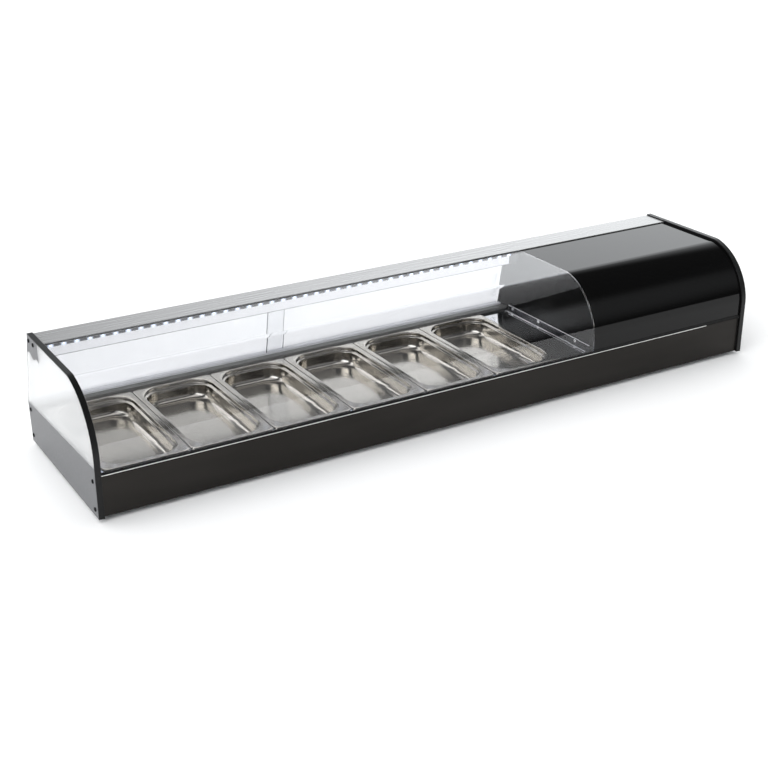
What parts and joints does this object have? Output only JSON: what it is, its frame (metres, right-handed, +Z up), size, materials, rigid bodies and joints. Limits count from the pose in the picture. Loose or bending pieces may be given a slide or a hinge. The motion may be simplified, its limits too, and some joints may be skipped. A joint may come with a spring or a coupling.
{
  "type": "tapas display case",
  "caption": "Long refrigerated countertop case with a curved front glass over a row of shallow food pans, sliding rear doors and a black machine housing at one end.",
  "frame": {"origin": "middle of the case's outline on the counter plane, under the feet", "axes": "+X along the case towards the machine housing, +Y from the curved front to the sliding doors, +Z up"},
  "size_m": [1.6336, 0.404, 0.263],
  "materials": {
    "clear_panel": "gloss",
    "curved_glass": "gloss",
    "black_panel": "gloss",
    "black_trim": "satin",
    "black_sheet": "satin",
    "black_cover": "gloss",
    "grey_plate": "satin",
    "stainless": "satin",
    "bright_steel": "polished",
    "zinc_sheet": "satin",
    "aluminium": "satin",
    "copper": "satin",
    "black_rubber": "matte",
    "foam": "matte",
    "black_enamel": "satin",
    "lamp_board": "matte",
    "lamp_lens": "gloss",
    "control_black": "satin",
    "key_grey": "matte",
    "dark_window": "gloss",
    "green_rocker": "gloss",
    "grip_clear": "gloss"
  },
  "bodies": {
    "case": {"left_end_panel": "clear_panel", "edge_trims": "black_trim", "side_plates": "grey_plate", "right_end_panel": "black_panel", "side_screws": "black_enamel", "base_floor": "zinc_sheet", "front_base_panel": "black_sheet", "rear_base_panel": "stainless", "rubber_feet": "black_rubber", "deck_frame": "stainless", "well_liner": "stainless", "well_insulation": "foam", "divider_bars": "stainless", "cooling_coil": "copper", "bay_bulkhead": "zinc_sheet", "lip_trim": "bright_steel", "front_gaskets": "black_rubber", "curved_front_glass": "curved_glass", "motor_cover": "black_cover", "top_profile": "aluminium", "led_board": "lamp_board", "led_lamps": "lamp_lens", "door_rail": "aluminium", "partition_wall": "black_panel", "partition_angle": "bright_steel", "partition_screws": "bright_steel", "bay_rear_panel": "stainless", "compressor": "black_enamel", "compressor_base": "black_enamel", "compressor_grommets": "black_rubber", "condenser": "aluminium", "fan_shroud": "zinc_sheet", "fan_motor": "black_enamel", "fan_bracket": "zinc_sheet", "filter_drier": "copper", "refrigerant_lines": "copper", "well_probe": "bright_steel", "controller_body": "control_black", "display_window": "dark_window", "switch_housings": "control_black", "cable_inlet": "black_rubber", "drain": "black_trim"},
    "pan_1": {"pan_1": "stainless"},
    "pan_2": {"pan_2": "stainless"},
    "pan_3": {"pan_3": "stainless"},
    "pan_4": {"pan_4": "stainless"},
    "pan_5": {"pan_5": "stainless"},
    "pan_6": {"pan_6": "stainless"},
    "left_door": {"rear_door_left": "clear_panel", "door_pull_left": "grip_clear"},
    "right_door": {"rear_door_right": "clear_panel", "door_pull_right": "grip_clear"},
    "fan": {"fan_rotor": "aluminium", "fan_shaft": "bright_steel"},
    "main_rocker": {"main_rocker": "green_rocker"},
    "light_rocker": {"light_rocker": "green_rocker"},
    "key_set": {"key_set": "key_grey"},
    "key_power": {"key_power": "key_grey"},
    "key_up": {"key_up": "key_grey"},
    "key_down": {"key_down": "key_grey"}
  },
  "joints": [
    {"name": "pan_1_lift", "type": "slide", "parent": "case", "child": "pan_1", "axis": [0, 0, 1], "range_m": [0, 0.045]},
    {"name": "pan_2_lift", "type": "slide", "parent": "case", "child": "pan_2", "axis": [0, 0, 1], "range_m": [0, 0.045]},
    {"name": "pan_3_lift", "type": "slide", "parent": "case", "child": "pan_3", "axis": [0, 0, 1], "range_m": [0, 0.045]},
    {"name": "pan_4_lift", "type": "slide", "parent": "case", "child": "pan_4", "axis": [0, 0, 1], "range_m": [0, 0.045]},
    {"name": "pan_5_lift", "type": "slide", "parent": "case", "child": "pan_5", "axis": [0, 0, 1], "range_m": [0, 0.045]},
    {"name": "pan_6_lift", "type": "slide", "parent": "case", "child": "pan_6", "axis": [0, 0, 1], "range_m": [0, 0.045]},
    {"name": "left_door_slide", "type": "slide", "parent": "case", "child": "left_door", "axis": [1, 0, 0], "range_m": [0, 0.592]},
    {"name": "right_door_slide", "type": "slide", "parent": "case", "child": "right_door", "axis": [-1, 0, 0], "range_m": [0, 0.519]},
    {"name": "fan_spin", "type": "hinge", "parent": "case", "child": "fan", "pos_m": [0.687, 0.077, 0.108], "axis": [0, 1, 0], "continuous": true},
    {"name": "main_rocker_tilt", "type": "hinge", "parent": "case", "child": "main_rocker", "pos_m": [0.53, 0.1925, 0.058], "axis": [1, 0, 0], "range_deg": [0, 12]},
    {"name": "light_rocker_tilt", "type": "hinge", "parent": "case", "child": "light_rocker", "pos_m": [0.572, 0.1925, 0.058], "axis": [1, 0, 0], "range_deg": [0, 12]},
    {"name": "key_set_press", "type": "slide", "parent": "case", "child": "key_set", "axis": [0, -1, 0], "range_m": [0, 0.0008], "stiffness_N_per_m": 300},
    {"name": "key_power_press", "type": "slide", "parent": "case", "child": "key_power", "axis": [0, -1, 0], "range_m": [0, 0.0008], "stiffness_N_per_m": 300},
    {"name": "key_up_press", "type": "slide", "parent": "case", "child": "key_up", "axis": [0, -1, 0], "range_m": [0, 0.0008], "stiffness_N_per_m": 300},
    {"name": "key_down_press", "type": "slide", "parent": "case", "child": "key_down", "axis": [0, -1, 0], "range_m": [0, 0.0008], "stiffness_N_per_m": 300}
  ]
}
